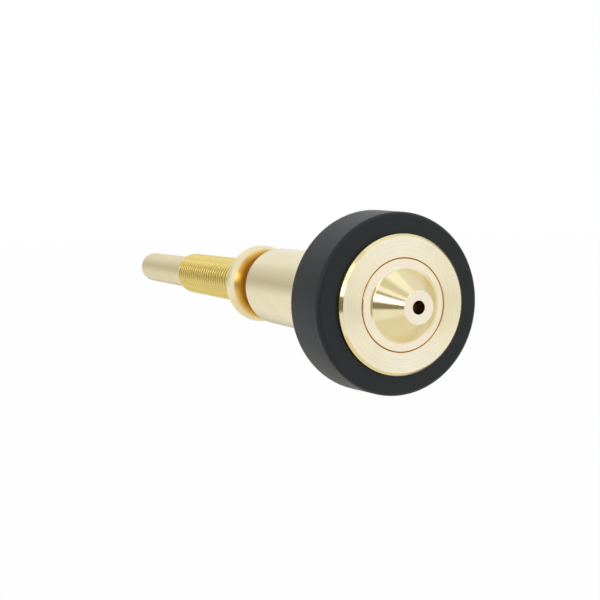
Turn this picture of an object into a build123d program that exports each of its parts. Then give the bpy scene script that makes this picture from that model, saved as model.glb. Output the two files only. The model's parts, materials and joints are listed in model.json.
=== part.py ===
from build123d import *
import math
import os

# Oil burner nozzle with a long threaded stem.
# Millimetres. The axis is Y: the spray leaves towards -Y and the oil enters at the +Y end.
# The origin is on the axis, in the plane of the collar's rear face, which is the seat of the thread.
# "Station" is a place along Y; every piece is turned about that axis.

# Lengths along the axis
barrel_reach = 50.0          # front face to the rear end of the barrel
neck_length = 10.0           # rear end of the barrel to the collar's seat
thread_length = 44.0
tail_length = 34.0

# Nozzle tip
land_diameter = 15.8         # flat ring of the tip, seen inside the face ring
land_width = 1.55            # from the land's rim in to the foot of the cone
cone_top_diameter = 5.6
cone_height = 4.65
cone_root_radius = 0.25
orifice_diameter = 2.3
orifice_length = 1.4
inner_cone_angle = 40.0      # half angle of the cone behind the orifice
flange_step = 1.0            # how far the tip's flange stands out from its land
flange_thickness = 2.5
tip_bore_diameter = 9.0
spigot_wall = 1.5
spigot_length = 3.0

# Swirl pieces inside the tip
disc_length = 3.7            # straight part of the swirl disc
disc_nose_radius = 1.7
swirl_slot_count = 4
swirl_slot_width = 0.7
swirl_slot_depth = 0.5
swirl_slot_offset = 1.3
feed_groove_width = 1.2
feed_groove_depth = 1.0
screw_length = 3.0
screw_hole_diameter = 2.4
screw_recess_depth = 0.6
screw_recess_rim = 0.7
driver_slot_width = 1.2
driver_slot_depth = 1.0

# Face ring, which is a union nut, and its rubber grip
lip_gap = 0.15               # fine ring-shaped gap between the land and the face ring
lip_thickness = 2.5
face_edge = 0.5
thread_land = 0.4            # step from the clip groove out to the union thread
ring_wall = 1.35
face_overhang = 0.6
ring_depth = 11.1
face_proud = 1.1             # the face ring stands this far in front of the rubber
rib_height = 0.6
rib_width = 1.5
rib_station = 4.0            # rib, measured from the rear end of the face ring
grip_depth_front = 3.6       # rubber outside the face ring, at its front edge
grip_depth_rear = 4.0
grip_edge_radius = 0.9

# Snap ring that keeps the tip in the face ring
clip_thickness = 0.7
clip_depth = 0.6
clip_reach = 0.8             # how far the snap ring stands in over the flange
clip_gap_width = 3.0

# Barrel
barrel_diameter = 16.0
barrel_edge = 0.4
barrel_bore_diameter = 10.0
seal_thickness = 1.0
nose_length = 0.8
nose_clearance = 0.4         # radial, between the barrel's nose and the face ring
socket_extra = 1.0           # space behind the tip's spigot in the barrel's socket
shoulder_step = 0.8
shoulder_thickness = 1.5

# Anti-drip valve
stop_thickness = 1.5
stop_hole_diameter = 1.8
stop_hole_count = 4
guide_diameter = 2.0
guide_lead = 0.8             # the poppet's stem passes this far through the stop at rest
spring_length = 6.5
spring_wire = 0.5
spring_coil_diameter = 4.4
spring_turns = 5
spring_wire_share = 0.96     # drawn wire over room for it, so that the end turns stay clear
poppet_diameter = 6.4
poppet_thickness = 2.0
pad_thickness = 0.8
pad_screw_diameter = 1.2
pad_screw_depth = 1.4
pad_screw_head_diameter = 3.8
pad_screw_head_height = 0.8
seat_hole_diameter = 4.6
seat_lip_width = 0.5
seat_lip_height = 1.0
seat_length = 3.7
snap_thickness = 0.8
snap_depth = 0.5
snap_reach = 1.0

# Filter
filter_gap = 1.7             # snap ring to the closed end of the filter
filter_diameter = 7.2
filter_wall = 1.1
holder_nipple_length = 1.8
holder_flange_diameter = 8.4
holder_flange_thickness = 2.0
holder_shank_length = 4.0
holder_hole_diameter = 2.4

# Stem
spigot_engagement = 8.0
neck_step = 1.0              # the neck's shoulder, outside the barrel's bore
collar_diameter = 16.8
collar_width = 3.0
collar_crown = 0.8           # how far the collar's outside swells, front to rear
crown_bulge = 0.72           # share of that swell, and of the collar's width, at the crown's middle
crown_place = 0.45
flare_length = 3.8
collar_edge = 0.3
thread_diameter = 10.0
thread_chamfer = 0.9
tail_diameter = 8.0
tail_edge = 0.5
oil_bore_diameter = 3.0
inlet_bore_diameter = 4.0
inlet_bore_depth = 20.0
inlet_chamfer = 0.4

# O-rings: section diameters, and the free space in their grooves
seat_ring_section = 1.0
stem_ring_section = 1.0
grip_ring_section = 0.7
groove_side = 0.3
stem_groove_station = 1.5    # from the stem's front end
grip_groove_station = 0.4    # from the front of the barrel's threaded head

# Fits, radial unless a comment says otherwise
running_fit = 0.05
press_gap = 0.02
loose_fit = 0.1
end_gap = 0.05               # along the axis


def turned(*outline):
    """A solid turned about the Y axis from (radius, station) corners."""
    return revolve(make_face(Polyline(*outline, close=True)), Axis.Y)


def rod(radius, start, end):
    return turned((0, start), (radius, start), (radius, end), (0, end))


def tube(inner, outer, start, end):
    return turned((inner, start), (outer, start), (outer, end), (inner, end))


def o_ring(inner, section, middle):
    """A round-section ring lying around the axis."""
    return revolve(Pos(inner + section / 2, middle) * Circle(section / 2), Axis.Y)


def snap_ring(inner, outer, start, thickness, gap):
    """A flat split ring with its gap at the bottom."""
    split = Pos(0, start + thickness / 2, -outer) * Box(gap, 2 * thickness, outer)
    return tube(inner, outer, start, start + thickness) - split


def around(count, piece):
    """Copies of a piece, evenly spaced about the Y axis."""
    return [Rot(Y=360 * i / count) * piece for i in range(count)]


def on_circle(edge, radius, station):
    """True for the round edge of that radius at that station."""
    if edge.geom_type != GeomType.CIRCLE:
        return False
    return abs(edge.radius - radius) < 0.001 and abs(edge.arc_center.Y - station) < 0.001


# Stations of the main planes
seat_station = 0.0
barrel_rear = seat_station - neck_length
face_station = barrel_rear - barrel_reach
tip_front = face_station - cone_height
flange_front = face_station + lip_thickness
flange_rear = flange_front + flange_thickness
tip_rear = flange_rear + spigot_length
ring_rear = face_station + ring_depth
barrel_front = flange_rear + seal_thickness
head_front = barrel_front + nose_length
thread_end = seat_station + thread_length
tail_end = thread_end + tail_length

# Radii of the face ring's stack, from the tip outwards
land_radius = land_diameter / 2
flange_radius = land_radius + flange_step
pocket_radius = flange_radius + loose_fit
clip_groove_radius = pocket_radius + clip_depth
head_radius = clip_groove_radius + thread_land
ring_bore_radius = head_radius + running_fit
skirt_radius = ring_bore_radius + ring_wall
face_radius = skirt_radius + face_overhang
tip_bore_radius = tip_bore_diameter / 2
spigot_radius = tip_bore_radius + spigot_wall
barrel_bore_radius = barrel_bore_diameter / 2
barrel_radius = barrel_diameter / 2

# Stations of the pieces inside the tip and the barrel, front to rear
inner_slope = math.tan(math.radians(inner_cone_angle))
orifice_end = tip_front + orifice_length
orifice_radius = orifice_diameter / 2
cone_bottom = orifice_end + (tip_bore_radius - orifice_radius) / inner_slope
disc_shoulder = cone_bottom + end_gap
disc_rear = disc_shoulder + disc_length
screw_rear = disc_rear + screw_length
socket_rear = tip_rear + socket_extra
stop_front = socket_rear + shoulder_thickness
stop_rear = stop_front + stop_thickness
poppet_front = stop_rear + spring_length
poppet_rear = poppet_front + poppet_thickness
pad_rear = poppet_rear + pad_thickness
seat_front = pad_rear + seat_lip_height
seat_rear = seat_front + seat_length
snap_rear = seat_rear + snap_thickness
stem_front = barrel_rear - spigot_engagement
holder_front = stem_front - holder_flange_thickness
filter_front = snap_rear + filter_gap


def nozzle_tip():
    """Cone, flat land, captured flange and rear spigot, with the orifice and the swirl pocket."""
    cone_base = land_radius - land_width
    cone_top = cone_top_diameter / 2
    body = turned(
        (orifice_radius, tip_front),
        (cone_top, tip_front),
        (cone_base, face_station),
        (land_radius, face_station),
        (land_radius, flange_front),
        (flange_radius, flange_front),
        (flange_radius, flange_rear),
        (spigot_radius, flange_rear),
        (spigot_radius, tip_rear),
        (tip_bore_radius, tip_rear),
        (tip_bore_radius, cone_bottom),
        (orifice_radius, orifice_end),
    )
    root = [e for e in body.edges() if on_circle(e, cone_base, face_station)]
    return fillet(root, cone_root_radius)


def swirl_disc():
    """Cone-nosed plug whose slanting slots set the oil spinning behind the orifice."""
    radius = tip_bore_radius - loose_fit
    nose_front = disc_shoulder - (radius - disc_nose_radius) / inner_slope
    disc = turned(
        (0, nose_front),
        (disc_nose_radius, nose_front),
        (radius, disc_shoulder),
        (radius, disc_rear),
        (0, disc_rear),
    )
    groove = Box(feed_groove_width, disc_rear - disc_shoulder, 2 * feed_groove_depth)
    groove = Pos(swirl_slot_offset, (disc_rear + disc_shoulder) / 2, radius) * groove
    slant = Box(swirl_slot_width, 4 * radius, 2 * swirl_slot_depth)
    slant = Rot(X=90 - inner_cone_angle) * slant
    cone_middle = (radius + disc_nose_radius) / 2
    slant = Pos(swirl_slot_offset, (nose_front + disc_shoulder) / 2, cone_middle) * slant
    ahead = tube(0, 2 * radius, nose_front - radius, disc_shoulder)
    for cut in around(swirl_slot_count, groove) + around(swirl_slot_count, slant & ahead):
        disc -= cut
    return disc


def swirl_screw():
    """Slotted lock screw that holds the swirl disc up against the inner cone."""
    radius = tip_bore_radius - running_fit
    front = disc_rear + end_gap
    screw = tube(screw_hole_diameter / 2, radius, front, screw_rear)
    screw -= rod(radius - screw_recess_rim, front, front + screw_recess_depth)
    slot = Box(2 * radius, driver_slot_depth, driver_slot_width)
    return screw - Pos(0, screw_rear - driver_slot_depth / 2, 0) * slot


def tip_seal():
    """Flat washer squeezed between the tip's flange and the barrel."""
    outer = clip_groove_radius - clip_depth - clip_reach - loose_fit
    return tube(spigot_radius + loose_fit, outer, flange_rear, barrel_front)


def face_ring():
    """Union nut: lip over the tip's flange, clip groove, union thread and a rib for the rubber."""
    rib_middle = ring_rear - rib_station
    groove_front = flange_rear + end_gap
    groove_rear = groove_front + clip_thickness + end_gap
    land_rear = head_front - end_gap
    return turned(
        (land_radius + lip_gap, face_station),
        (face_radius - face_edge, face_station),
        (face_radius, face_station + face_edge),
        (face_radius, flange_front),
        (skirt_radius, flange_front),
        (skirt_radius, rib_middle - rib_width / 2),
        (skirt_radius + rib_height, rib_middle - rib_width / 2),
        (skirt_radius + rib_height, rib_middle + rib_width / 2),
        (skirt_radius, rib_middle + rib_width / 2),
        (skirt_radius, ring_rear),
        (ring_bore_radius, ring_rear),
        (ring_bore_radius, land_rear),
        (pocket_radius, land_rear),
        (pocket_radius, groove_rear),
        (clip_groove_radius, groove_rear),
        (clip_groove_radius, groove_front),
        (pocket_radius, groove_front),
        (pocket_radius, flange_front),
        (land_radius + lip_gap, flange_front),
    )


def rubber_grip():
    """Soft ring around the face ring, keyed by the rib, with rounded edges and a slight taper."""
    rib_middle = ring_rear - rib_station
    front = face_station + face_proud
    outer_front = face_radius + grip_depth_front
    outer_rear = face_radius + grip_depth_rear
    inner = skirt_radius + press_gap
    pocket = face_radius + press_gap
    key = inner + rib_height
    key_half = rib_width / 2 + press_gap
    grip = turned(
        (pocket, front),
        (outer_front, front),
        (outer_rear, ring_rear),
        (inner, ring_rear),
        (inner, rib_middle + key_half),
        (key, rib_middle + key_half),
        (key, rib_middle - key_half),
        (inner, rib_middle - key_half),
        (inner, flange_front + press_gap),
        (pocket, flange_front + press_gap),
    )
    rims = [e for e in grip.edges() if on_circle(e, outer_front, front)]
    rims += [e for e in grip.edges() if on_circle(e, outer_rear, ring_rear)]
    return fillet(rims, grip_edge_radius)


def tip_clip():
    """Split ring in the face ring's groove, behind the tip's flange."""
    outer = clip_groove_radius - loose_fit
    inner = pocket_radius - clip_reach
    return snap_ring(inner, outer, flange_rear + end_gap, clip_thickness, clip_gap_width)


def barrel():
    """Body with its threaded head, the tip's socket, the valve bore and two inner grooves."""
    nose_radius = pocket_radius - nose_clearance
    socket_radius = spigot_radius + loose_fit
    groove_front = head_front + grip_groove_station
    groove_rear = groove_front + grip_ring_section + groove_side
    groove_radius = head_radius - grip_ring_section - press_gap
    snap_radius = barrel_bore_radius + snap_depth
    return turned(
        (socket_radius, barrel_front),
        (nose_radius, barrel_front),
        (nose_radius, head_front),
        (head_radius, head_front),
        (head_radius, groove_front),
        (groove_radius, groove_front),
        (groove_radius, groove_rear),
        (head_radius, groove_rear),
        (head_radius, ring_rear),
        (barrel_radius, ring_rear),
        (barrel_radius, barrel_rear - barrel_edge),
        (barrel_radius - barrel_edge, barrel_rear),
        (barrel_bore_radius, barrel_rear),
        (barrel_bore_radius, snap_rear + end_gap),
        (snap_radius, snap_rear + end_gap),
        (snap_radius, seat_rear),
        (barrel_bore_radius, seat_rear),
        (barrel_bore_radius, stop_front),
        (barrel_bore_radius - shoulder_step, stop_front),
        (barrel_bore_radius - shoulder_step, socket_rear),
        (socket_radius, socket_rear),
    )


def grip_o_ring():
    """Ring in the barrel's head that keeps the union thread clean and stiff to turn."""
    middle = head_front + grip_groove_station + (grip_ring_section + groove_side) / 2
    return o_ring(head_radius - grip_ring_section, grip_ring_section, middle)


def spring_stop():
    """Drilled disc that carries the spring and guides the poppet's stem."""
    radius = barrel_bore_radius - running_fit
    guide_radius = guide_diameter / 2 + running_fit
    stop = tube(guide_radius, radius, stop_front, stop_rear)
    hole_circle = (guide_radius + barrel_bore_radius - shoulder_step) / 2
    hole = Pos(0, 0, hole_circle) * rod(stop_hole_diameter / 2, stop_front, stop_rear)
    for cut in around(stop_hole_count, hole):
        stop -= cut
    return stop


def valve_spring():
    """Compression spring between the stop and the poppet."""
    wire = spring_wire / 2
    start = stop_rear + wire
    height = spring_length - 2 * wire
    coil = Helix(height / spring_turns, height, spring_coil_diameter / 2, (0, start, 0), (0, 1, 0))
    section = Plane(origin=coil @ 0, z_dir=coil % 0) * Circle(wire * spring_wire_share)
    return sweep(section, path=coil, is_frenet=True)


def valve_poppet():
    """Mushroom-shaped closing piece, bored for the screw that holds its pad."""
    poppet = turned(
        (0, stop_front - guide_lead),
        (guide_diameter / 2, stop_front - guide_lead),
        (guide_diameter / 2, poppet_front),
        (poppet_diameter / 2, poppet_front),
        (poppet_diameter / 2, poppet_rear),
        (0, poppet_rear),
    )
    hole = pad_screw_diameter / 2 + press_gap
    return poppet - rod(hole, poppet_rear - pad_screw_depth - end_gap, poppet_rear)


def poppet_pad():
    """Soft disc that closes on the seat's lip."""
    return tube(pad_screw_diameter / 2 + press_gap, poppet_diameter / 2, poppet_rear, pad_rear)


def pad_screw():
    """Small round-headed screw through the pad."""
    shank = rod(pad_screw_diameter / 2, poppet_rear - pad_screw_depth, pad_rear)
    return shank + rod(pad_screw_head_diameter / 2, pad_rear, pad_rear + pad_screw_head_height)


def valve_seat():
    """Turned insert with a raised lip in front and an O-ring groove around it."""
    radius = barrel_bore_radius - running_fit
    hole = seat_hole_diameter / 2
    middle = (seat_front + seat_rear) / 2
    groove_half = (seat_ring_section + groove_side) / 2
    groove_radius = barrel_bore_radius - 2 * press_gap - seat_ring_section
    return turned(
        (hole, pad_rear),
        (hole + seat_lip_width, pad_rear),
        (hole + seat_lip_width, seat_front),
        (radius, seat_front),
        (radius, middle - groove_half),
        (groove_radius, middle - groove_half),
        (groove_radius, middle + groove_half),
        (radius, middle + groove_half),
        (radius, seat_rear),
        (hole, seat_rear),
    )


def seat_o_ring():
    inner = barrel_bore_radius - press_gap - seat_ring_section
    return o_ring(inner, seat_ring_section, (seat_front + seat_rear) / 2)


def seat_snap_ring():
    """Split ring in the barrel's groove, behind the valve seat."""
    outer = barrel_bore_radius + snap_depth - loose_fit
    inner = barrel_bore_radius - snap_reach
    return snap_ring(inner, outer, seat_rear, snap_thickness, 2 * snap_reach)


def filter_holder():
    """Drilled bush between the stem and the filter."""
    hole = holder_hole_diameter / 2
    nipple = filter_diameter / 2 - filter_wall - press_gap
    return turned(
        (hole, holder_front - holder_nipple_length),
        (nipple, holder_front - holder_nipple_length),
        (nipple, holder_front),
        (holder_flange_diameter / 2, holder_front),
        (holder_flange_diameter / 2, stem_front),
        (nipple, stem_front),
        (nipple, stem_front + holder_shank_length),
        (hole, stem_front + holder_shank_length),
    )


def filter_cup():
    """Sintered cup with a closed front end; oil passes out through its wall."""
    outer = filter_diameter / 2
    inner = outer - filter_wall
    return turned(
        (0, filter_front),
        (outer, filter_front),
        (outer, holder_front),
        (inner, holder_front),
        (inner, filter_front + filter_wall),
        (0, filter_front + filter_wall),
    )


def stem():
    """Spigot, neck, flared collar, threaded length and plain tail, drilled through."""
    spigot = barrel_bore_radius - running_fit
    neck = barrel_bore_radius + neck_step
    collar = collar_diameter / 2
    flare_end = collar - collar_crown
    collar_front = seat_station - collar_width
    thread = thread_diameter / 2
    tail = tail_diameter / 2
    oil_bore = oil_bore_diameter / 2
    inlet = inlet_bore_diameter / 2
    holder_bore = filter_diameter / 2 - filter_wall
    groove_front = stem_front + stem_groove_station
    groove_rear = groove_front + stem_ring_section + groove_side
    groove = barrel_bore_radius - 2 * press_gap - stem_ring_section
    rise = flare_end - neck
    flare_radius = (flare_length**2 + rise**2) / (2 * rise)
    half_turn = math.asin(flare_length / flare_radius) / 2
    flare_start = (neck, collar_front - flare_length)
    flare_middle = (
        neck + flare_radius * (1 - math.cos(half_turn)),
        collar_front - flare_length + flare_radius * math.sin(half_turn),
    )
    crown_start = (flare_end, collar_front)
    crown_middle = (flare_end + crown_bulge * collar_crown, collar_front + crown_place * collar_width)
    crown_end = (collar, seat_station - collar_edge)
    bore_end = tail_end - inlet_bore_depth
    outline = Polyline(
        (holder_bore, stem_front),
        (spigot, stem_front),
        (spigot, groove_front),
        (groove, groove_front),
        (groove, groove_rear),
        (spigot, groove_rear),
        (spigot, barrel_rear),
        (neck, barrel_rear),
        flare_start,
    )
    outline += ThreePointArc(flare_start, flare_middle, crown_start)
    outline += ThreePointArc(crown_start, crown_middle, crown_end)
    outline += Polyline(
        crown_end,
        (collar - collar_edge, seat_station),
        (thread, seat_station),
        (thread, thread_end - thread_chamfer),
        (tail, thread_end),
        (tail, tail_end - tail_edge),
        (tail - tail_edge, tail_end),
        (inlet + inlet_chamfer, tail_end),
        (inlet, tail_end - inlet_chamfer),
        (inlet, bore_end),
        (oil_bore, bore_end),
        (oil_bore, stem_front + holder_shank_length + end_gap),
        (holder_bore, stem_front + holder_shank_length + end_gap),
        (holder_bore, stem_front),
    )
    return revolve(make_face(outline), Axis.Y)


def stem_o_ring():
    inner = barrel_bore_radius - press_gap - stem_ring_section
    middle = stem_front + stem_groove_station + (stem_ring_section + groove_side) / 2
    return o_ring(inner, stem_ring_section, middle)


PIECES = {
    "nozzle_tip": nozzle_tip,
    "swirl_disc": swirl_disc,
    "swirl_screw": swirl_screw,
    "tip_seal": tip_seal,
    "face_ring": face_ring,
    "rubber_grip": rubber_grip,
    "tip_clip": tip_clip,
    "barrel": barrel,
    "grip_o_ring": grip_o_ring,
    "spring_stop": spring_stop,
    "valve_spring": valve_spring,
    "valve_poppet": valve_poppet,
    "poppet_pad": poppet_pad,
    "pad_screw": pad_screw,
    "valve_seat": valve_seat,
    "seat_o_ring": seat_o_ring,
    "seat_snap_ring": seat_snap_ring,
    "filter_holder": filter_holder,
    "filter_cup": filter_cup,
    "stem": stem,
    "stem_o_ring": stem_o_ring,
}

os.makedirs("parts", exist_ok=True)
for node, make in PIECES.items():
    export_step(make(), f"parts/{node}.step")
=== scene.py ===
import json
import math

import bpy
import numpy as np
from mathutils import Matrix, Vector


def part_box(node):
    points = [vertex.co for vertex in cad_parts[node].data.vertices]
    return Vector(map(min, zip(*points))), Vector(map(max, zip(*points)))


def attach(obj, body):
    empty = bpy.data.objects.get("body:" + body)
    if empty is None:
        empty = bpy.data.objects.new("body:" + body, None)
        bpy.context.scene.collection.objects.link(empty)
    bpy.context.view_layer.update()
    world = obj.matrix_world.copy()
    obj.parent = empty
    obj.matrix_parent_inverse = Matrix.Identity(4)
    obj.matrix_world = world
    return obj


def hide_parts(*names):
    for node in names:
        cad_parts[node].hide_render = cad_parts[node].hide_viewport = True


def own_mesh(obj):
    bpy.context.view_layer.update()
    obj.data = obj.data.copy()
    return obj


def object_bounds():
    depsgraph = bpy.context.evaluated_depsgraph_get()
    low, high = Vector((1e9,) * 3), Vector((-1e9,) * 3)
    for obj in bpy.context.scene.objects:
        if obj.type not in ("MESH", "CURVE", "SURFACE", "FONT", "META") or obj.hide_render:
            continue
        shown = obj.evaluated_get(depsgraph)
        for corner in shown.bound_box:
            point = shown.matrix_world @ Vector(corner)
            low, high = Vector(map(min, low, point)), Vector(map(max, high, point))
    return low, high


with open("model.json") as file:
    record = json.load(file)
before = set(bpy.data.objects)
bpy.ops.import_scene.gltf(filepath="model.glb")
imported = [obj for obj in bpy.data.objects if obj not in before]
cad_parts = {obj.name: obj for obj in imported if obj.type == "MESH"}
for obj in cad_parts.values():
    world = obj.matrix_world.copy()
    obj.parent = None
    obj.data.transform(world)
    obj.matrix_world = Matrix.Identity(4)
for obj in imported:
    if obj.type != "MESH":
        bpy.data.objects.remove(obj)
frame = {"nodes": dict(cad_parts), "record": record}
cad_low, cad_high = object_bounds()

# ---------------------------------------------------------------- camera and studio
# The nozzle is held level by its thread, high over a white table, and looked at from in front of
# its spray face and a little to its left. The camera's and the pieces' sizes are in mm, and the
# studio's are in metres.
mm = 0.001
face_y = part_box("face_ring")[0].y
face_centre = Vector((0, face_y, 0))
yaw = math.radians(25.63)
pitch = math.radians(4.89)
camera_distance = 167.3
camera_leftward = 17.38
camera_rise = 0.89
forward = Vector((math.sin(yaw) * math.cos(pitch), math.cos(yaw) * math.cos(pitch), -math.sin(pitch)))
right = Vector((math.cos(yaw), -math.sin(yaw), 0))
up = right.cross(forward)
camera = bpy.data.objects.new("camera", bpy.data.cameras.new("camera"))
camera.data.sensor_width = 36
camera.data.lens = 60
camera.data.clip_start = 0.01
camera.location = (
    face_centre - camera_leftward * mm * right + camera_rise * mm * up - camera_distance * mm * forward
)
camera.rotation_mode = "QUATERNION"
camera.rotation_quaternion = forward.to_track_quat("-Z", "Y")
bpy.context.scene.collection.objects.link(camera)
bpy.context.scene.camera = camera
bpy.context.scene.view_settings.view_transform = "Standard"


def add(tree, kind, values=None, **settings):
    """A new shader node with its settings and the values of its unlinked inputs."""
    made = tree.nodes.new(kind)
    for key, value in settings.items():
        setattr(made, key, value)
    for key, value in (values or {}).items():
        made.inputs[key].default_value = value
    return made


def new_material(name):
    """A material with an empty node tree."""
    material = bpy.data.materials.new(name)
    material.use_nodes = True
    material.node_tree.nodes.clear()
    return material, material.node_tree


def studio_sheet(name, size, place, facing, material):
    """A square sheet that faces one way and isn't part of the nozzle."""
    half = size / 2
    corners = [(-half, -half, 0), (half, -half, 0), (half, half, 0), (-half, half, 0)]
    mesh = bpy.data.meshes.new(name)
    mesh.from_pydata(corners, [], [(0, 1, 2, 3)])
    mesh.materials.append(material)
    sheet = bpy.data.objects.new(name, mesh)
    sheet.location = place
    sheet.rotation_mode = "QUATERNION"
    sheet.rotation_quaternion = Vector(facing).to_track_quat("Z", "Y")
    bpy.context.scene.collection.objects.link(sheet)
    return sheet


table_width = 20.0
table_drop = 0.25
whiteness = 0.92
table_white, tree = new_material("table_white")
paper = add(tree, "ShaderNodeBsdfDiffuse", {"Color": (0.9, 0.9, 0.9, 1)})
bright = add(tree, "ShaderNodeEmission", {"Strength": 1.0})
seen = add(tree, "ShaderNodeLightPath")
either = add(tree, "ShaderNodeMath", operation="MAXIMUM")
share = add(tree, "ShaderNodeMath", {1: whiteness}, operation="MULTIPLY")
blend = add(tree, "ShaderNodeMixShader")
output = add(tree, "ShaderNodeOutputMaterial")
tree.links.new(seen.outputs["Is Camera Ray"], either.inputs[0])
tree.links.new(seen.outputs["Is Glossy Ray"], either.inputs[1])
tree.links.new(either.outputs[0], share.inputs[0])
tree.links.new(share.outputs[0], blend.inputs["Fac"])
tree.links.new(paper.outputs[0], blend.inputs[1])
tree.links.new(bright.outputs[0], blend.inputs[2])
tree.links.new(blend.outputs[0], output.inputs["Surface"])
studio_sheet("table", table_width, (0, 0, cad_low.z - table_drop), (0, 0, 1), table_white)

world = bpy.data.worlds.new("studio")
world.use_nodes = True
world.node_tree.nodes["Background"].inputs["Color"].default_value = (1, 1, 1, 1)
world.node_tree.nodes["Background"].inputs["Strength"].default_value = 1.0
bpy.context.scene.world = world


def toward(way, distance):
    """The place that lies a distance from the face ring in a direction, and that direction."""
    away = Vector(way).normalized()
    return face_centre + distance * away, away


def softbox(name, width, height, way, distance, power):
    """A rectangular lamp that shines at the face ring."""
    lamp = bpy.data.lights.new(name, "AREA")
    lamp.shape = "RECTANGLE"
    lamp.size = width
    lamp.size_y = height
    lamp.energy = power
    holder = bpy.data.objects.new(name, lamp)
    holder.location, away = toward(way, distance)
    holder.rotation_mode = "QUATERNION"
    holder.rotation_quaternion = away.to_track_quat("Z", "Y")
    bpy.context.scene.collection.objects.link(holder)


def card(name, width, height, way, colour, distance=0.7, core=None):
    """A card that only reflections show: dark or tinted below a strength of 1, bright above it.

    Its sizes are in metres, way points to it from the face ring, and colour is its strength in red,
    green and blue. core is how far up the card that colour lies, as a share of its height; the card
    then fades to white above and below.
    """
    paint, tree = new_material(name)
    glow = add(tree, "ShaderNodeEmission", {"Color": (*colour, 1)})
    output = add(tree, "ShaderNodeOutputMaterial")
    tree.links.new(glow.outputs[0], output.inputs["Surface"])
    if core:
        place = add(tree, "ShaderNodeTexCoord")
        axes = add(tree, "ShaderNodeSeparateXYZ")
        fade = add(tree, "ShaderNodeValToRGB")
        fade.color_ramp.elements.new(core).color = (*colour, 1)
        fade.color_ramp.elements[0].color = (1, 1, 1, 1)
        fade.color_ramp.elements[2].color = (1, 1, 1, 1)
        tree.links.new(place.outputs["Generated"], axes.inputs[0])
        tree.links.new(axes.outputs["Y"], fade.inputs["Fac"])
        tree.links.new(fade.outputs["Color"], glow.inputs["Color"])
    place, away = toward(way, distance)
    sheet = studio_sheet(name, 1.0, place, -away, paint)
    sheet.scale = (width, height, 1)
    sheet.visible_camera = False
    sheet.visible_diffuse = False
    sheet.visible_shadow = False


softbox("key_box", width=0.1, height=0.4, way=(-0.04, -0.01, 1.0), distance=0.9, power=0.06)
# On the left, bright strips with dark edges make the bands along the cone and round its foot.
card("left_strip", 0.5, 0.19, (-0.96, -0.25, 0.29), (2.7, 2.7, 2.7))
card("left_front_strip", 0.17, 0.42, (-0.72, -0.47, 0.50), (1.7, 1.7, 1.7))
card("left_front_high_card", 0.22, 0.22, (-0.38, -0.70, 0.60), (1.6, 1.6, 1.6))
card("left_front_low_card", 0.1, 0.24, (-0.80, -0.60, 0.0), (0.05, 0.04, 0.02))
card("left_upper_card", 0.34, 0.08, (-0.86, -0.16, 0.53), (0.13, 0.12, 0.09))
card("left_high_card", 0.4, 0.27, (-0.51, -0.12, 0.85), (0.74, 0.72, 0.60))
card("left_lower_card", 0.5, 0.225, (-0.96, -0.25, -0.02), (0.24, 0.21, 0.14))
# Behind, they make the darker line along the barrel and the stem, and the grey side of the cone.
card("rear_card", 0.5, 0.57, (-0.52, 0.86, 0.25), (0.60, 0.56, 0.52), core=0.32)
card("rear_table_card", 0.4, 0.36, (0.32, 0.85, -0.47), (0.50, 0.47, 0.42))
card("rear_right_card", 0.4, 0.3, (0.752, 0.653, -0.085), (0.66, 0.74, 1.05))
# In front, they make the face ring yellower at its sides and whiter at its top and bottom.
card("front_card", 0.42, 0.9, (-0.47, -0.86, 0.05), (0.46, 0.38, 0.10))
card("front_right_card", 0.3, 0.6, (0.88, -0.47, -0.08), (0.80, 0.70, 0.24))
card("front_high_card", 0.16, 0.3, (0.35, -0.70, 0.62), (1.06, 1.09, 1.30))
card("front_low_card", 0.16, 0.3, (0.35, -0.62, -0.70), (1.06, 1.09, 1.30))
# Above and below, they keep the brass from mirroring plain white.
card("top_card", 0.4, 0.4, (0.45, 0.2, 0.86), (0.92, 0.92, 0.92))
card("table_card", 0.5, 0.5, (0.0, 0.1, -1.0), (0.89, 0.84, 0.72), distance=0.2)


# ---------------------------------------------------------------- nozzle tip
# The tip is one piece of brass turned on a lathe: a cone with the spray hole in a small flat, a
# flat land round the cone's foot, and behind it the flange that the face ring pulls on.
def smooth_outline(*corners):
    """Points and outward normals of a closed outline in (radius, station), its corners rounded.

    A corner is (radius, station, rounding), and the metal lies on the outline's left.
    """
    points, normals = [], []
    count = len(corners)
    for corner, (radius, station, rounding) in enumerate(corners):
        here = np.array((radius, station))
        incoming = here - np.array(corners[corner - 1][:2])
        outgoing = np.array(corners[(corner + 1) % count][:2]) - here
        incoming /= np.linalg.norm(incoming)
        outgoing /= np.linalg.norm(outgoing)
        first = np.array((incoming[1], -incoming[0]))
        last = np.array((outgoing[1], -outgoing[0]))
        bend = math.atan2(incoming[0] * outgoing[1] - incoming[1] * outgoing[0], incoming @ outgoing)
        side = math.copysign(1, bend)
        centre = here - side * rounding * (first + last) / (1 + first @ last)
        steps = 3 + int(abs(bend) * math.sqrt(rounding) * 8)
        for step in range(steps + 1):
            cosine, sine = math.cos(bend * step / steps), math.sin(bend * step / steps)
            normal = np.array((cosine * first[0] - sine * first[1], sine * first[0] + cosine * first[1]))
            points.append(centre + side * rounding * normal)
            normals.append(normal)
    return np.array(points), np.array(normals)


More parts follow.
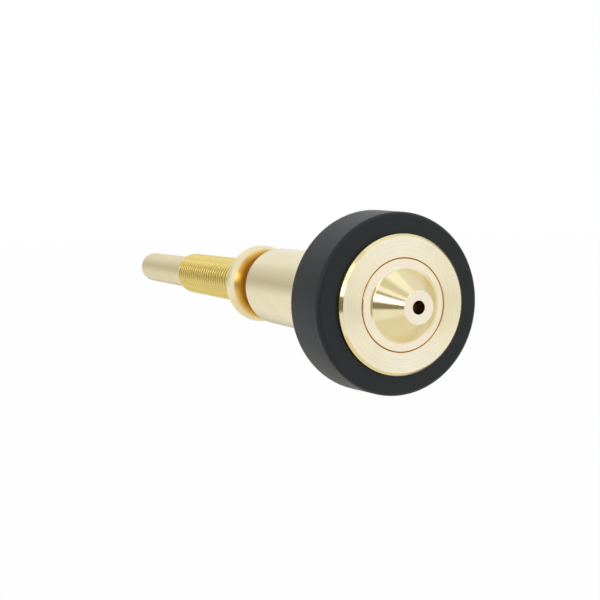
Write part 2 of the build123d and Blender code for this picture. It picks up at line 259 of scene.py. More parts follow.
def lathe(name, outline, segments=192, relief=None):
    """The closed solid that an outline in mm sweeps round the Y axis, with exact normals.

    relief(station, angle) is an optional radius that cuts the outline wherever it is the smaller.
    """
    points, normals = outline
    rows = len(points)
    turn = np.repeat((np.arange(segments) * 2 * math.pi / segments)[:, None], rows, 1)
    radius = np.repeat(points[None, :, 0], segments, 0)
    station = np.repeat(points[None, :, 1], segments, 0)
    out = np.repeat(normals[None, :, 0], segments, 0)
    along = np.repeat(normals[None, :, 1], segments, 0)
    sideways = np.zeros_like(out)
    if relief:
        ahead, aside = 0.01, 0.005
        cut = relief(station, turn)
        rise = (relief(station + ahead, turn) - relief(station - ahead, turn)) / (2 * ahead)
        swing = (relief(station, turn + aside) - relief(station, turn - aside)) / (2 * aside) / radius
        length = np.sqrt(1 + rise**2 + swing**2)
        lower = (cut < radius) & (out > 0)
        radius = np.where(lower, cut, radius)
        out = np.where(lower, 1 / length, out)
        along = np.where(lower, -rise / length, along)
        sideways = np.where(lower, -swing / length, sideways)
    cosine, sine = np.cos(turn), np.sin(turn)
    places = np.stack([radius * cosine, station, radius * sine], -1).reshape(-1, 3) * mm
    directions = [out * cosine - sideways * sine, along, out * sine + sideways * cosine]
    directions = np.stack(directions, -1).reshape(-1, 3)
    column, row = np.meshgrid(np.arange(segments), np.arange(rows), indexing="ij")
    next_column, next_row = (column + 1) % segments, (row + 1) % rows
    corners = (
        column * rows + row,
        column * rows + next_row,
        next_column * rows + next_row,
        next_column * rows + row,
    )
    mesh = bpy.data.meshes.new(name)
    mesh.from_pydata(places.tolist(), [], np.stack(corners, -1).reshape(-1, 4).tolist())
    mesh.polygons.foreach_set("use_smooth", [True] * len(mesh.polygons))
    mesh.normals_split_custom_set_from_vertices(directions.tolist())
    piece = bpy.data.objects.new(name, mesh)
    bpy.context.scene.collection.objects.link(piece)
    return piece


tip_low, tip_high = (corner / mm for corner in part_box("nozzle_tip"))
face = face_y / mm
orifice_radius = 1.15
orifice_length = 1.4
orifice_end = tip_low.y + orifice_length
nose_radius = 2.8
flange_step = 1.0
flange_radius = tip_high.z
land_radius = flange_radius - flange_step
land_width = 1.55
cone_foot = land_radius - land_width
foot_rounding = 1.0
lip_thickness = 2.5
flange_thickness = 2.5
flange_front = face + lip_thickness
flange_rear = flange_front + flange_thickness
tip_spigot = 6.0
tip_bore = 4.5
inner_cone_angle = math.radians(40)
inner_cone_end = orifice_end + (tip_bore - orifice_radius) / math.tan(inner_cone_angle)
# A crisp edge is left as the tool cuts it, and an eased one is broken with a file.
crisp = 0.05
eased = 0.08
gap_rounding = 0.24
tip_outline = smooth_outline(
    (orifice_radius, tip_low.y, crisp),
    (nose_radius, tip_low.y, eased),
    (cone_foot, face, foot_rounding),
    (land_radius, face, gap_rounding),
    (land_radius, flange_front, crisp),
    (flange_radius, flange_front, eased),
    (flange_radius, flange_rear, eased),
    (tip_spigot, flange_rear, crisp),
    (tip_spigot, tip_high.y, eased),
    (tip_bore, tip_high.y, eased),
    (tip_bore, inner_cone_end, crisp),
    (orifice_radius, orifice_end, crisp),
)


def shared_group(name, inputs, outputs):
    """An empty shader node group with named sockets, and its group input and output nodes."""
    group = bpy.data.node_groups.new(name, "ShaderNodeTree")
    for label, kind, value in inputs:
        socket = group.interface.new_socket(label, in_out="INPUT", socket_type=kind)
        socket.default_value = value
    for label, kind in outputs:
        group.interface.new_socket(label, in_out="OUTPUT", socket_type=kind)
    return group, group.nodes.new("NodeGroupInput"), group.nodes.new("NodeGroupOutput")


lathe_marks, given, result = shared_group(
    "lathe_marks",
    [
        ("Mark Spacing", "NodeSocketFloat", 0.00025),
        ("Smudge Size", "NodeSocketFloat", 0.004),
    ],
    [
        ("Height", "NodeSocketFloat"),
        ("Smudge", "NodeSocketFloat"),
        ("Station", "NodeSocketFloat"),
        ("Radius", "NodeSocketFloat"),
    ],
)
place = add(lathe_marks, "ShaderNodeTexCoord")
axes = add(lathe_marks, "ShaderNodeSeparateXYZ")
lathe_marks.links.new(place.outputs["Object"], axes.inputs[0])
across = add(lathe_marks, "ShaderNodeCombineXYZ")
lathe_marks.links.new(axes.outputs["X"], across.inputs["X"])
lathe_marks.links.new(axes.outputs["Z"], across.inputs["Z"])
reach = add(lathe_marks, "ShaderNodeVectorMath", operation="LENGTH")
lathe_marks.links.new(across.outputs[0], reach.inputs[0])
# The cutter leaves rings, so the marks change with the radius and the station and not round the axis.
path = add(lathe_marks, "ShaderNodeMath", {1: 0.73}, operation="MULTIPLY_ADD")
lathe_marks.links.new(axes.outputs["Y"], path.inputs[0])
lathe_marks.links.new(reach.outputs["Value"], path.inputs[2])
rings = add(lathe_marks, "ShaderNodeMath", operation="DIVIDE")
lathe_marks.links.new(path.outputs[0], rings.inputs[0])
lathe_marks.links.new(given.outputs["Mark Spacing"], rings.inputs[1])
ring_noise = add(lathe_marks, "ShaderNodeTexNoise", {"Scale": 1.0, "Detail": 3.0}, noise_dimensions="1D")
lathe_marks.links.new(rings.outputs[0], ring_noise.inputs["W"])
lathe_marks.links.new(ring_noise.outputs["Fac"], result.inputs["Height"])
smudge_scale = add(lathe_marks, "ShaderNodeMath", {0: 1.0}, operation="DIVIDE")
lathe_marks.links.new(given.outputs["Smudge Size"], smudge_scale.inputs[1])
smudge = add(lathe_marks, "ShaderNodeTexNoise", {"Detail": 5.0, "Roughness": 0.55})
lathe_marks.links.new(place.outputs["Object"], smudge.inputs["Vector"])
lathe_marks.links.new(smudge_scale.outputs[0], smudge.inputs["Scale"])
lathe_marks.links.new(smudge.outputs["Fac"], result.inputs["Smudge"])
for label, source in (("Station", axes.outputs["Y"]), ("Radius", reach.outputs["Value"])):
    in_mm = add(lathe_marks, "ShaderNodeMath", {1: 1 / mm}, operation="MULTIPLY")
    lathe_marks.links.new(source, in_mm.inputs[0])
    lathe_marks.links.new(in_mm.outputs[0], result.inputs[label])


def tone(red, green, blue, dulling=1.0):
    """A linear colour from its display values, 0 to 255; its last number is a share of roughness."""
    values = (red, green, blue)
    return *(((v / 255 + 0.055) / 1.055) ** 2.4 if v > 10 else v / 255 / 12.92 for v in values), dulling


def turned_metal(
    name,
    zones,
    along="Station",
    roughness=0.3,
    spread=0.04,
    spacing=0.25,
    height=0.001,
    anisotropic=0.0,
    low=None,
):
    """Bare turned metal with fine rings from the cutter, coloured in zones along it, and smudges.

    zones is a list of (place in mm along the station or radius, colour), and the colour runs
    smoothly from one to the next. spacing and height are those of the cutter's rings, in mm.
    A zone whose colour has a dulling under 1 is that much smoother than the rest.
    low is (first station, last station, inner radius, outer radius, colour) for a part where the
    surface turns to another colour from the outer radius in to the inner one: painted shade in a bore or in
    a thread's grooves.
    """
    material, tree = new_material(name)
    marks = add(tree, "ShaderNodeGroup", node_tree=lathe_marks)
    marks.inputs["Mark Spacing"].default_value = spacing * mm
    start, end = zones[0][0], zones[-1][0]
    share = add(tree, "ShaderNodeMapRange", {"From Min": start, "From Max": end})
    tree.links.new(marks.outputs[along], share.inputs["Value"])
    ramp = add(tree, "ShaderNodeValToRGB")
    while len(ramp.color_ramp.elements) < len(zones):
        ramp.color_ramp.elements.new(0.5)
    for element, (spot, colour) in zip(ramp.color_ramp.elements, zones):
        element.position = (spot - start) / (end - start)
        element.color = colour
    tree.links.new(share.outputs["Result"], ramp.inputs["Fac"])
    colour = ramp.outputs["Color"]
    # The low colour is painted shade, laid on toward the inner radius.
    if low:
        first, last, inner, outer, shade_colour = low
        after = add(tree, "ShaderNodeMath", {1: first}, operation="GREATER_THAN")
        before = add(tree, "ShaderNodeMath", {1: last}, operation="LESS_THAN")
        inward = add(tree, "ShaderNodeMapRange", {"From Min": outer, "From Max": inner})
        within = add(tree, "ShaderNodeMath", operation="MULTIPLY")
        mask = add(tree, "ShaderNodeMath", operation="MULTIPLY")
        tree.links.new(marks.outputs["Station"], after.inputs[0])
        tree.links.new(marks.outputs["Station"], before.inputs[0])
        tree.links.new(marks.outputs["Radius"], inward.inputs["Value"])
        tree.links.new(after.outputs[0], within.inputs[0])
        tree.links.new(before.outputs[0], within.inputs[1])
        tree.links.new(within.outputs[0], mask.inputs[0])
        tree.links.new(inward.outputs["Result"], mask.inputs[1])
        shade_mix = add(tree, "ShaderNodeMix", {"B": shade_colour}, data_type="RGBA")
        tree.links.new(mask.outputs[0], shade_mix.inputs["Factor"])
        tree.links.new(colour, shade_mix.inputs["A"])
        colour = shade_mix.outputs["Result"]
    smudged = {"From Min": 0.35, "From Max": 0.75, "To Min": 1.0, "To Max": 0.97}
    dim = add(tree, "ShaderNodeMapRange", smudged)
    tree.links.new(marks.outputs["Smudge"], dim.inputs["Value"])
    ringed = {"From Min": 0.3, "From Max": 0.7, "To Min": 0.97, "To Max": 1.02}
    line = add(tree, "ShaderNodeMapRange", ringed)
    tree.links.new(marks.outputs["Height"], line.inputs["Value"])
    darken = add(tree, "ShaderNodeMath", operation="MULTIPLY")
    tree.links.new(dim.outputs["Result"], darken.inputs[0])
    tree.links.new(line.outputs["Result"], darken.inputs[1])
    tint = add(tree, "ShaderNodeVectorMath", operation="SCALE")
    tree.links.new(colour, tint.inputs[0])
    tree.links.new(darken.outputs[0], tint.inputs["Scale"])
    least, most = roughness - spread / 2, roughness + spread
    worn = {"From Min": 0.3, "From Max": 0.75, "To Min": least, "To Max": most}
    dull = add(tree, "ShaderNodeMapRange", worn)
    tree.links.new(marks.outputs["Smudge"], dull.inputs["Value"])
    polish = add(tree, "ShaderNodeMath", operation="MULTIPLY")
    tree.links.new(dull.outputs["Result"], polish.inputs[0])
    tree.links.new(ramp.outputs["Alpha"], polish.inputs[1])
    bump = add(tree, "ShaderNodeBump", {"Strength": 1.0, "Distance": height * mm})
    tree.links.new(marks.outputs["Height"], bump.inputs["Height"])
    # The rings spread reflections along the radius, so the tangent runs round the axis, a quarter turn off.
    tangent = add(tree, "ShaderNodeTangent", direction_type="RADIAL", axis="Y")
    grooved = {"Metallic": 1.0, "Anisotropic": anisotropic, "Anisotropic Rotation": 0.25}
    surface = add(tree, "ShaderNodeBsdfPrincipled", grooved)
    tree.links.new(tint.outputs["Vector"], surface.inputs["Base Color"])
    tree.links.new(polish.outputs[0], surface.inputs["Roughness"])
    tree.links.new(bump.outputs["Normal"], surface.inputs["Normal"])
    tree.links.new(tangent.outputs["Tangent"], surface.inputs["Tangent"])
    output = add(tree, "ShaderNodeOutputMaterial")
    tree.links.new(surface.outputs["BSDF"], output.inputs["Surface"])
    return material


# A painted highlight: the flats at the nose and round the cone are coloured paler than the cone's brass.
flat_highlight_brass = tone(245, 235, 212)
cone_brass = tone(238, 226, 184)
# Painted shade and painted reflection: the narrow gap between the tip and the face ring is coloured darker
# and more orange.
gap_shade_brass = tone(246, 202, 132)
# Painted shade: the orifice's bore is coloured dark brown, for the shade inside the deep hole.
orifice_shade = tone(86, 62, 44)
orifice_shade_reach = 0.09
# The flats at the nose and round the cone are painted paler than the cone as a painted highlight, the
# narrow gap is painted darker and more orange as painted shade, and the orifice's bore is painted dark as
# painted shade.
tip_brass = turned_metal(
    "tip_brass",
    [
        (tip_low.y, flat_highlight_brass),
        (tip_low.y + 0.12, cone_brass),
        (face - 0.3, cone_brass),
        (face - 0.05, flat_highlight_brass),
        (face + 0.02, flat_highlight_brass),
        (face + 0.1, gap_shade_brass),
        (tip_high.y, gap_shade_brass),
    ],
    roughness=0.2,
    spacing=0.2,
    height=0.0004,
    anisotropic=0.7,
    low=(tip_low.y + 0.02, tip_high.y, orifice_radius, orifice_radius + orifice_shade_reach, orifice_shade),
)
tip = lathe("tip_turned", tip_outline)
tip.data.materials.append(tip_brass)
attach(tip, "tip")
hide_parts("nozzle_tip")

# ---------------------------------------------------------------- face ring
# The face ring is the brass union nut: its lip holds the tip, its inside thread runs on the
# barrel's head, and a rib round its skirt keys the rubber grip.
ring_low, ring_high = (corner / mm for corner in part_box("face_ring"))
clip_edge = 0.04
lip_gap = 0.07
lip_bore = land_radius + lip_gap
face_chamfer = 0.5
chamfer_rounding = 0.12
face_radius = ring_high.z
face_overhang = 0.6
skirt_radius = face_radius - face_overhang
ring_wall = 1.35
union_bore = skirt_radius - ring_wall
loose_fit = 0.1
running_fit = 0.05
pocket_radius = flange_radius + loose_fit
clip_depth = 0.6
clip_width = 0.75
clip_groove = pocket_radius + clip_depth
clip_front = flange_rear + running_fit
clip_rear = clip_front + clip_width
pocket_length = 1.75
union_front = flange_rear + pocket_length
rib_station = 4.75
rib_width = 1.5
rib_front = ring_high.y - rib_station
rib_rear = rib_front + rib_width
ring_outline = smooth_outline(
    (lip_bore, ring_low.y, gap_rounding),
    (face_radius - face_chamfer, ring_low.y, eased),
    (face_radius, ring_low.y + face_chamfer, chamfer_rounding),
    (face_radius, flange_front, crisp),
    (skirt_radius, flange_front, crisp),
    (skirt_radius, rib_front, crisp),
    (face_radius, rib_front, crisp),
    (face_radius, rib_rear, crisp),
    (skirt_radius, rib_rear, crisp),
    (skirt_radius, ring_high.y, eased),
    (union_bore, ring_high.y, eased),
    (union_bore, union_front, crisp),
    (pocket_radius, union_front, crisp),
    (pocket_radius, clip_rear, clip_edge),
    (clip_groove, clip_rear, clip_edge),
    (clip_groove, clip_front, clip_edge),
    (pocket_radius, clip_front, clip_edge),
    (pocket_radius, flange_front, crisp),
    (lip_bore, flange_front, crisp),
)
# A painted highlight: the ring's face is coloured paler than its brass.
face_highlight_brass = tone(250, 242, 217)
chamfer_brass = tone(240, 228, 184, 0.5)
rim_brass = tone(236, 222, 172, 0.5)
# The chamfer is cut with a finer tool than the face, so it is smoother. It is also a little yellower,
# because the face is painted paler as a painted highlight; at the lip the gap's darker orange is painted
# shade.
ring_brass = turned_metal(
    "ring_brass",
    [
        # At the lip, the gap's darker orange is painted shade.
        (lip_bore, gap_shade_brass),
        (lip_bore + 0.15, face_highlight_brass),
        (face_radius - face_chamfer - 0.02, face_highlight_brass),
        (face_radius - face_chamfer + 0.06, chamfer_brass),
        (face_radius, rim_brass),
    ],
    along="Radius",
    roughness=0.36,
    spacing=0.3,
    height=0.004,
    anisotropic=0.9,
)
ring = lathe("face_ring_turned", ring_outline, 256)
ring.data.materials.append(ring_brass)
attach(ring, "grip")
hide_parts("face_ring")

# ---------------------------------------------------------------- rubber grip
# The grip is a ring of black moulded rubber pushed over the face ring, with rounded edges and a
# slight taper, and a groove inside that takes the face ring's rib.
rubber_low, rubber_high = (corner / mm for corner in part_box("rubber_grip"))
fit = 0.02
grip_taper = 0.4
grip_rear = 16.0
grip_front = grip_rear - grip_taper
grip_edge = 0.9
bore_edge = 0.1
rubber_outline = smooth_outline(
    (face_radius + fit, rubber_low.y, bore_edge),
    (grip_front, rubber_low.y, grip_edge),
    (grip_rear, rubber_high.y, grip_edge),
    (skirt_radius + fit, rubber_high.y, bore_edge),
    (skirt_radius + fit, rib_rear + fit, crisp),
    (face_radius + fit, rib_rear + fit, crisp),
    (face_radius + fit, rib_front - fit, crisp),
    (skirt_radius + fit, rib_front - fit, crisp),
    (skirt_radius + fit, flange_front + fit, crisp),
    (face_radius + fit, flange_front + fit, crisp),
)
mould_marks, given, result = shared_group(
    "mould_marks",
    [("Grain Size", "NodeSocketFloat", 0.0003), ("Cloud Size", "NodeSocketFloat", 0.006)],
    [("Grain", "NodeSocketFloat"), ("Cloud", "NodeSocketFloat")],
)
place = add(mould_marks, "ShaderNodeTexCoord")
for size, label, roughness in (("Grain Size", "Grain", 0.6), ("Cloud Size", "Cloud", 0.5)):
    scale = add(mould_marks, "ShaderNodeMath", {0: 1.0}, operation="DIVIDE")
    noise = add(mould_marks, "ShaderNodeTexNoise", {"Detail": 4.0, "Roughness": roughness})
    mould_marks.links.new(given.outputs[size], scale.inputs[1])
    mould_marks.links.new(scale.outputs[0], noise.inputs["Scale"])
    mould_marks.links.new(place.outputs["Object"], noise.inputs["Vector"])
    mould_marks.links.new(noise.outputs["Fac"], result.inputs[label])


def moulded(name, dark, light, smooth, dull, grain=0.3, depth=0.01, specular=0.5, shine=(1, 1, 1, 1)):
    """A moulded rubber or plastic: clouded between two colours, with a fine grain in its skin.

    smooth and dull are the least and the most roughness, and grain and depth are in mm.
    """
    material, tree = new_material(name)
    marks = add(tree, "ShaderNodeGroup", node_tree=mould_marks)
    marks.inputs["Grain Size"].default_value = grain * mm
    tint = add(tree, "ShaderNodeMix", {"A": (*dark, 1), "B": (*light, 1)}, data_type="RGBA")
    tree.links.new(marks.outputs["Cloud"], tint.inputs["Factor"])
    gloss = add(tree, "ShaderNodeMapRange", {"To Min": smooth, "To Max": dull})
    tree.links.new(marks.outputs["Cloud"], gloss.inputs["Value"])
    bump = add(tree, "ShaderNodeBump", {"Strength": 1.0, "Distance": depth * mm})
    tree.links.new(marks.outputs["Grain"], bump.inputs["Height"])
    skin = {"Specular IOR Level": specular, "Specular Tint": shine}
    surface = add(tree, "ShaderNodeBsdfPrincipled", skin)
    tree.links.new(tint.outputs["Result"], surface.inputs["Base Color"])
    tree.links.new(gloss.outputs["Result"], surface.inputs["Roughness"])
    tree.links.new(bump.outputs["Normal"], surface.inputs["Normal"])
    output = add(tree, "ShaderNodeOutputMaterial")
    tree.links.new(surface.outputs["BSDF"], output.inputs["Surface"])
    return material


black_rubber = moulded(
    "black_rubber",
    (0.0040, 0.0050, 0.0064),
    (0.0084, 0.0100, 0.0120),
    0.40,
    0.54,
    specular=0.38,
    shine=(0.86, 0.95, 1.0, 1),
)
grip = lathe("rubber_grip_moulded", rubber_outline, 256)
grip.data.materials.append(black_rubber)
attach(grip, "grip")
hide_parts("rubber_grip")

# ---------------------------------------------------------------- barrel
# The barrel is a brass tube turned from bar: a threaded head inside the face ring, a step down to
# the smooth outside that shows, and inside it the socket for the tip and the valve's bore.
barrel_low, barrel_high = (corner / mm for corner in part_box("barrel"))
barrel_radius = 8.0
barrel_edge = 0.45
groove_edge = 0.03
nose_length = 0.8
nose_clearance = 0.4
head_radius = barrel_high.z
head_front = barrel_low.y + nose_length
nose_outer = pocket_radius - nose_clearance
tip_socket = tip_spigot + loose_fit
groove_depth = 0.72
groove_width = 1.0
groove_land = 0.4
groove_floor = head_radius - groove_depth
groove_front = head_front + groove_land
groove_rear = groove_front + groove_width
barrel_bore = 5.0
snap_depth = 0.5
snap_width = 0.85
snap_groove = barrel_bore + snap_depth
snap_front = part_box("valve_seat")[1].y / mm
snap_rear = snap_front + snap_width
shoulder_thickness = 1.5
shoulder_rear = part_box("spring_stop")[0].y / mm
shoulder_front = shoulder_rear - shoulder_thickness
shoulder_bore = 4.2
barrel_outline = smooth_outline(
    (tip_socket, barrel_low.y, eased),
    (nose_outer, barrel_low.y, eased),
    (nose_outer, head_front, crisp),
    (head_radius, head_front, eased),
    (head_radius, groove_front, crisp),
    (groove_floor, groove_front, crisp),
    (groove_floor, groove_rear, crisp),
    (head_radius, groove_rear, crisp),
    (head_radius, ring_high.y, eased),
    (barrel_radius, ring_high.y, crisp),
    (barrel_radius, barrel_high.y, barrel_edge),
    (barrel_bore, barrel_high.y, eased),
    (barrel_bore, snap_rear, groove_edge),
    (snap_groove, snap_rear, groove_edge),
    (snap_groove, snap_front, groove_edge),
    (barrel_bore, snap_front, groove_edge),
    (barrel_bore, shoulder_rear, crisp),
    (shoulder_bore, shoulder_rear, crisp),
    (shoulder_bore, shoulder_front, crisp),
    (tip_socket, shoulder_front, crisp),
)
barrel_brass = turned_metal(
    "barrel_brass",
    [(barrel_low.y, tone(233, 224, 186)), (barrel_high.y, tone(231, 220, 180))],
    roughness=0.22,
    spacing=0.3,
    height=0.0006,
    anisotropic=0.4,
)
barrel = lathe("barrel_turned", barrel_outline)
barrel.data.materials.append(barrel_brass)
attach(barrel, "body")
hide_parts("barrel")

# ---------------------------------------------------------------- stem
# The stem is one turned brass bar, drilled through: a spigot screwed into the barrel, a neck that
# flares out to the collar, an M10 x 1.5 thread and a plain tail.
stem_low, stem_high = (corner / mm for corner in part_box("stem"))
seat = 0.0
collar_radius = stem_high.z
collar_width = 3.0
collar_edge = 0.35
crown_drop = 0.1
crown_place = 1.6
crown_rounding = 3.2
neck_radius = 6.0
flare_rim = 7.6
flare_rim_rounding = 0.1
flare_length = 2.8
flare_sweep = 5.2
sweep_corner = 1.24
flare_end = seat - collar_width
flare_start = flare_end - flare_length
spigot_radius = barrel_bore - running_fit
spigot_groove = 3.96
o_ring_low, o_ring_high = (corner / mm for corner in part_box("stem_o_ring"))
o_ring_middle = (o_ring_low.y + o_ring_high.y) / 2
o_ring_room = 0.65
thread_radius = 5.0
thread_length = 44.0
thread_end = seat + thread_length
thread_chamfer = 0.9
thread_root_rounding = 0.15
thread_start_rounding = 0.1
tail_radius = 4.0
tail_edge = 0.5
oil_bore = 1.5
inlet_bore = 2.0
inlet_edge = 0.3
inlet_depth = 20
inlet_start = stem_high.y - inlet_depth
holder_bore = 2.5
holder_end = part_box("filter_holder")[1].y / mm + running_fit
stem_corners = (
    (holder_bore, stem_low.y, crisp),
    (spigot_radius, stem_low.y, eased),
    (spigot_radius, o_ring_middle - o_ring_room, groove_edge),
    (spigot_groove, o_ring_middle - o_ring_room, groove_edge),
    (spigot_groove, o_ring_middle + o_ring_room, groove_edge),
    (spigot_radius, o_ring_middle + o_ring_room, groove_edge),
    (spigot_radius, barrel_high.y, crisp),
    (neck_radius, barrel_high.y, crisp),
    (neck_radius, flare_start + sweep_corner, flare_sweep),
    (flare_rim, flare_end, flare_rim_rounding),
    (collar_radius - crown_drop, seat - crown_place, crown_rounding),
    (collar_radius, seat, collar_edge),
    (thread_radius, seat, thread_root_rounding),
    (thread_radius, thread_end - thread_chamfer, thread_start_rounding),
    (tail_radius, thread_end, crisp),
    (tail_radius, stem_high.y, tail_edge),
    (inlet_bore, stem_high.y, inlet_edge),
    (inlet_bore, inlet_start, crisp),
    (oil_bore, inlet_start, crisp),
    (oil_bore, holder_end, crisp),
    (holder_bore, holder_end, crisp),
)
thread_pitch = 1.5
thread_depth = 0.92
crest_share = 0.125
flank_share = 0.625
softness = 0.4
run_in_start = 0.4
run_in_length = 1.4
crest_drop = 0.01
thread_margin = 0.3
clear_of_thread = 99.0


def thread_surface(station, turn):
    """Radius of the thread's surface: a screw with softened flanks that runs in behind the collar."""
    phase = (station / thread_pitch - turn / (2 * math.pi)) % 1.0
    away = 2 * np.abs(phase - 0.5)
    flank = np.clip((away - crest_share) / flank_share, 0, 1)
    flank = (1 - softness) * flank + softness * flank**2 * (3 - 2 * flank)
    fade = np.clip((station - seat - run_in_start) / run_in_length, 0, 1)
    radius = thread_radius - crest_drop - thread_depth * flank * fade
    threaded = (station > seat + thread_margin) & (station < thread_end - 0.02)
    return np.where(threaded, radius, clear_of_thread)


# The outline gets many rows for each turn of the thread, so that its flanks come out clean.
rows_a_turn = 14
row_margin = 0.05
points, normals = smooth_outline(*stem_corners)
on_thread = (points[:, 1] > seat + 0.1) & (np.abs(points[:, 0] - thread_radius) < 1e-6)
first_row = int(np.argmax(on_thread)) + 1
first_station = seat + thread_margin + row_margin
last_station = thread_end - thread_chamfer - row_margin
stations = np.arange(first_station, last_station, thread_pitch / rows_a_turn)
rows = np.stack([np.full_like(stations, thread_radius), stations], -1)
points = np.insert(points, first_row, rows, 0)
normals = np.insert(normals, first_row, np.tile((1.0, 0.0), (len(stations), 1)), 0)
collar_brass = tone(240, 228, 188)
thread_brass = tone(239, 219, 140)
# Painted shade: the thread's roots are coloured darker, for the shade between its flanks.
groove_shade = tone(146, 116, 30)
groove_shade_start = 0.1
tail_brass = tone(222, 208, 164)
# The neck is painted darker and orange, most of all where the flare starts and a little at the shoulder by
# the barrel: painted shade and painted reflection of the brass on itself in the hollow. The collar, thread
# and tail keep their own brass colours.
stem_brass = turned_metal(
    "stem_brass",
    [
        (barrel_high.y, tone(192, 148, 70)),
        (barrel_high.y + 1.6, tone(206, 170, 96)),
        (flare_start - 0.6, tone(168, 114, 30)),
        (flare_start + 0.6, tone(138, 82, 8)),
        (flare_end - 1.5, tone(152, 96, 12)),
        (flare_end - 0.5, tone(214, 166, 66)),
        (flare_end + 0.3, collar_brass),
        (seat, collar_brass),
        (seat + 0.4, thread_brass),
        (thread_end - 1.0, thread_brass),
        (thread_end, tail_brass),
        (stem_high.y, tail_brass),
    ],
    roughness=0.32,
    spacing=0.3,
    height=0.0005,
    anisotropic=0.3,
    low=(seat + 0.2, thread_end, thread_radius - thread_depth, thread_radius - groove_shade_start, groove_shade),
)
stem = lathe("stem_turned", (points, normals), 144, thread_surface)
stem.data.materials.append(stem_brass)
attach(stem, "body")
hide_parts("stem")

# ---------------------------------------------------------------- valve spring
# The anti-drip valve is shut by a small coil spring of drawn steel wire, its end turns closed up.
# It stands on the drilled stop. The poppet shortens it by the valve's lift as oil opens it, but here it is
# wound at one fixed length.
spring_low, spring_high = (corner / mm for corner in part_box("valve_spring"))
spring_steel, tree = new_material("spring_steel")
marks = add(tree, "ShaderNodeGroup", node_tree=mould_marks)
marks.inputs["Grain Size"].default_value = 0.08 * mm
marks.inputs["Cloud Size"].default_value = 2.0 * mm
tint = add(tree, "ShaderNodeMix", {"A": tone(168, 168, 170), "B": tone(214, 214, 216)}, data_type="RGBA")
tree.links.new(marks.outputs["Cloud"], tint.inputs["Factor"])
gloss = add(tree, "ShaderNodeMapRange", {"To Min": 0.22, "To Max": 0.42})
tree.links.new(marks.outputs["Grain"], gloss.inputs["Value"])
bump = add(tree, "ShaderNodeBump", {"Strength": 1.0, "Distance": 0.002 * mm})
tree.links.new(marks.outputs["Grain"], bump.inputs["Height"])
surface = add(tree, "ShaderNodeBsdfPrincipled", {"Metallic": 1.0})
tree.links.new(tint.outputs["Result"], surface.inputs["Base Color"])
tree.links.new(gloss.outputs["Result"], surface.inputs["Roughness"])
tree.links.new(bump.outputs["Normal"], surface.inputs["Normal"])
output = add(tree, "ShaderNodeOutputMaterial")
tree.links.new(surface.outputs["BSDF"], output.inputs["Surface"])
wire_radius = 0.24
coil_radius = spring_high.x - wire_radius
coil_turns = 6.5
closed_turns = 1.0
steps_a_turn = 40
sides = 12
low_end, high_end = spring_low.y + wire_radius, spring_high.y - wire_radius
closed_pitch = 1.05
closed_rise = closed_pitch * 2 * wire_radius
wire_places = []
for step in range(int(coil_turns * steps_a_turn) + 1):
    turned_by = step / steps_a_turn
    share = (turned_by - closed_turns) / (coil_turns - 2 * closed_turns)
    share = min(max(share, 0.0), 1.0)
    closed = min(turned_by, closed_turns) + max(turned_by - coil_turns + closed_turns, 0.0)
    station = low_end + closed_rise * closed + share * (high_end - low_end - 2 * closed_rise * closed_turns)
    angle = 2 * math.pi * turned_by
    outward = Vector((math.cos(angle), 0, math.sin(angle)))
    for side in range(sides):
        swing = 2 * math.pi * side / sides
        reach = coil_radius + wire_radius * math.cos(swing)
        wire_places.append((reach * outward + Vector((0, station + wire_radius * math.sin(swing), 0))) * mm)
wire_faces = []
for step in range(int(coil_turns * steps_a_turn)):
    for side in range(sides):
        here, beside = step * sides + side, step * sides + (side + 1) % sides
        wire_faces.append((here, here + sides, beside + sides, beside))
wire_faces.append(tuple(range(sides)))
wire_faces.append(tuple(reversed(range(len(wire_places) - sides, len(wire_places)))))
mesh = bpy.data.meshes.new("valve_spring_wound")
mesh.from_pydata([tuple(p) for p in wire_places], [], wire_faces)
mesh.polygons.foreach_set("use_smooth", [len(face_corners) == 4 for face_corners in wire_faces])
mesh.materials.append(spring_steel)
spring = bpy.data.objects.new("valve_spring_wound", mesh)
bpy.context.scene.collection.objects.link(spring)
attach(spring, "body")
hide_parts("valve_spring")
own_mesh(spring)

# ---------------------------------------------------------------- filter
# The filter is a cup of sintered bronze: fine round grains fused together, so oil seeps through
# its wall. It is pressed over a turned brass holder, which is pressed into the stem's front end.
grain_size = 0.25
filter_bronze, tree = new_material("filter_bronze")
place = add(tree, "ShaderNodeTexCoord")
grains = add(tree, "ShaderNodeTexVoronoi", {"Scale": 1 / (grain_size * mm)})
tree.links.new(place.outputs["Object"], grains.inputs["Vector"])
crown = add(tree, "ShaderNodeMapRange", {"From Max": 0.75, "To Min": 1.0, "To Max": 0.0})
tree.links.new(grains.outputs["Distance"], crown.inputs["Value"])
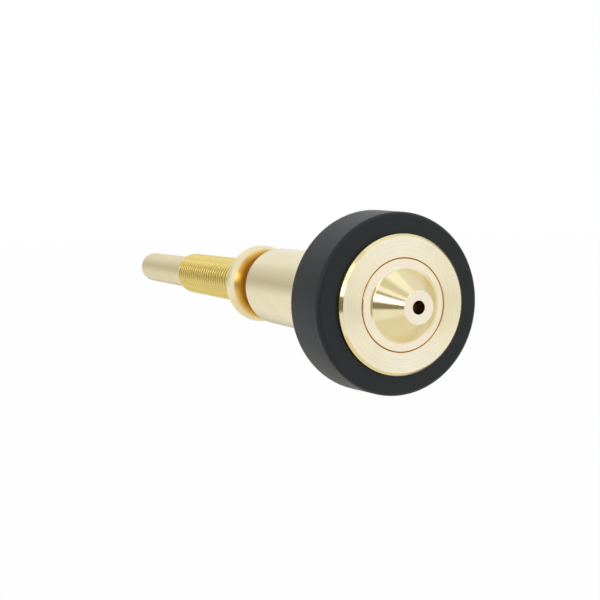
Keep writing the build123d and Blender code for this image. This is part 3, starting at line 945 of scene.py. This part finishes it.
# Between the grains the colour is painted darker: painted shade in the pores.
tint = add(tree, "ShaderNodeMix", {"A": tone(92, 62, 34), "B": tone(204, 160, 104)}, data_type="RGBA")
tree.links.new(crown.outputs["Result"], tint.inputs["Factor"])
bump = add(tree, "ShaderNodeBump", {"Strength": 1.0, "Distance": 0.08 * mm})
tree.links.new(crown.outputs["Result"], bump.inputs["Height"])
dull = add(tree, "ShaderNodeMapRange", {"To Min": 0.75, "To Max": 0.42})
tree.links.new(crown.outputs["Result"], dull.inputs["Value"])
surface = add(tree, "ShaderNodeBsdfPrincipled", {"Metallic": 1.0})
tree.links.new(tint.outputs["Result"], surface.inputs["Base Color"])
tree.links.new(dull.outputs["Result"], surface.inputs["Roughness"])
tree.links.new(bump.outputs["Normal"], surface.inputs["Normal"])
output = add(tree, "ShaderNodeOutputMaterial")
tree.links.new(surface.outputs["BSDF"], output.inputs["Surface"])

# ---------------------------------------------------------------- swirl pieces, valve and seals
# These pieces are inside the brass, and keep the shapes they have in the CAD model: turned brass,
# drawn steel, nitrile rubber O-rings and pad, and the flat washer of white plastic at the tip.
# Painted shade: the inner brass is coloured darker toward the tip, for the pieces seen deep through the
# orifice.
tip_shade_brass = tone(160, 108, 66)
bore_brass = tone(214, 190, 130)
inner_zones = [(tip_low.y, tip_shade_brass), (barrel_low.y, bore_brass)]
inner_brass = turned_metal("inner_brass", inner_zones, roughness=0.33)
soft_black = ((0.006, 0.006, 0.006), (0.014, 0.014, 0.014))
seal_rubber = moulded("seal_rubber", *soft_black, 0.24, 0.40, grain=0.12, depth=0.003)
soft_white = ((0.70, 0.70, 0.68), (0.80, 0.80, 0.78))
seal_white = moulded("seal_white", *soft_white, 0.40, 0.55, grain=0.2, depth=0.006)
finishes = {
    "inner_brass": inner_brass,
    "spring_steel": spring_steel,
    "filter_bronze": filter_bronze,
    "seal_rubber": seal_rubber,
    "seal_white": seal_white,
}
for entry in frame["record"]["subparts"]:
    if entry["material_slot"] in finishes and entry["node"] != "valve_spring":
        inner = frame["nodes"][entry["node"]]
        inner.data.materials.clear()
        inner.data.materials.append(finishes[entry["material_slot"]])
